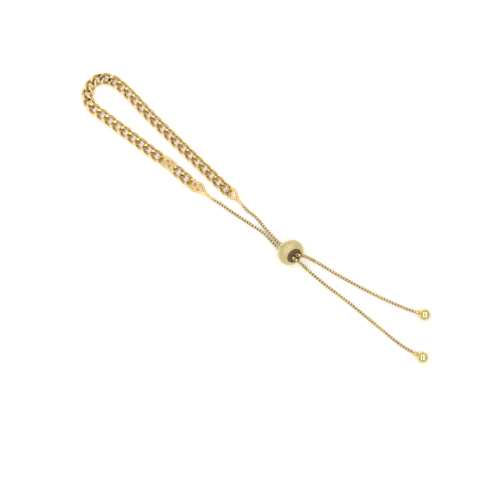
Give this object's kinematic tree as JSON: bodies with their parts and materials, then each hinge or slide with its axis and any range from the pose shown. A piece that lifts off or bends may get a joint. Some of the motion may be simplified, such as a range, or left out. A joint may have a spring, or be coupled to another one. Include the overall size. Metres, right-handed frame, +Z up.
{
  "type": "bolo slider bracelet",
  "caption": "Adjustable bracelet: flat curb chain with an extension and fine box chains that run through a rounded slider and end in small balls.",
  "frame": {"origin": "on the table under the middle of the laid bracelet's box", "axes": "+X along the bracelet from the curb chain's bend to the end balls, +Y across it, +Z up"},
  "size_m": [0.1278, 0.015, 0.0067],
  "materials": {
    "link_gold": "polished",
    "box_chain_gold": "polished",
    "cap_gold": "polished",
    "polished_gold": "polished",
    "silicone": "matte"
  },
  "bodies": {
    "root": {"box_chain_lower": "box_chain_gold", "box_chain_upper": "box_chain_gold", "curb_link_01": "link_gold", "curb_link_02": "link_gold", "curb_link_03": "link_gold", "curb_link_04": "link_gold", "curb_link_05": "link_gold", "curb_link_06": "link_gold", "curb_link_07": "link_gold", "curb_link_08": "link_gold", "curb_link_09": "link_gold", "curb_link_10": "link_gold", "curb_link_11": "link_gold", "curb_link_12": "link_gold", "curb_link_13": "link_gold", "curb_link_14": "link_gold", "curb_link_15": "link_gold", "curb_link_16": "link_gold", "curb_link_17": "link_gold", "curb_link_18": "link_gold", "curb_link_19": "link_gold", "curb_link_20": "link_gold", "curb_link_21": "link_gold", "curb_link_22": "link_gold", "curb_link_23": "link_gold", "curb_link_24": "link_gold", "curb_link_25": "link_gold", "curb_link_26": "link_gold", "curb_link_27": "link_gold", "curb_link_28": "link_gold", "curb_link_29": "link_gold", "curb_link_30": "link_gold", "curb_link_31": "link_gold", "end_ball_lower": "polished_gold", "end_ball_upper": "polished_gold", "end_cap_lower": "cap_gold", "end_cap_upper": "cap_gold", "end_loop_lower": "link_gold", "end_loop_upper": "link_gold", "extension_link_1": "link_gold", "extension_link_2": "link_gold", "oval_link_1": "link_gold", "oval_link_2": "link_gold", "oval_link_3": "link_gold", "slider_core": "silicone", "slider_shell": "polished_gold"}
  },
  "joints": []
}
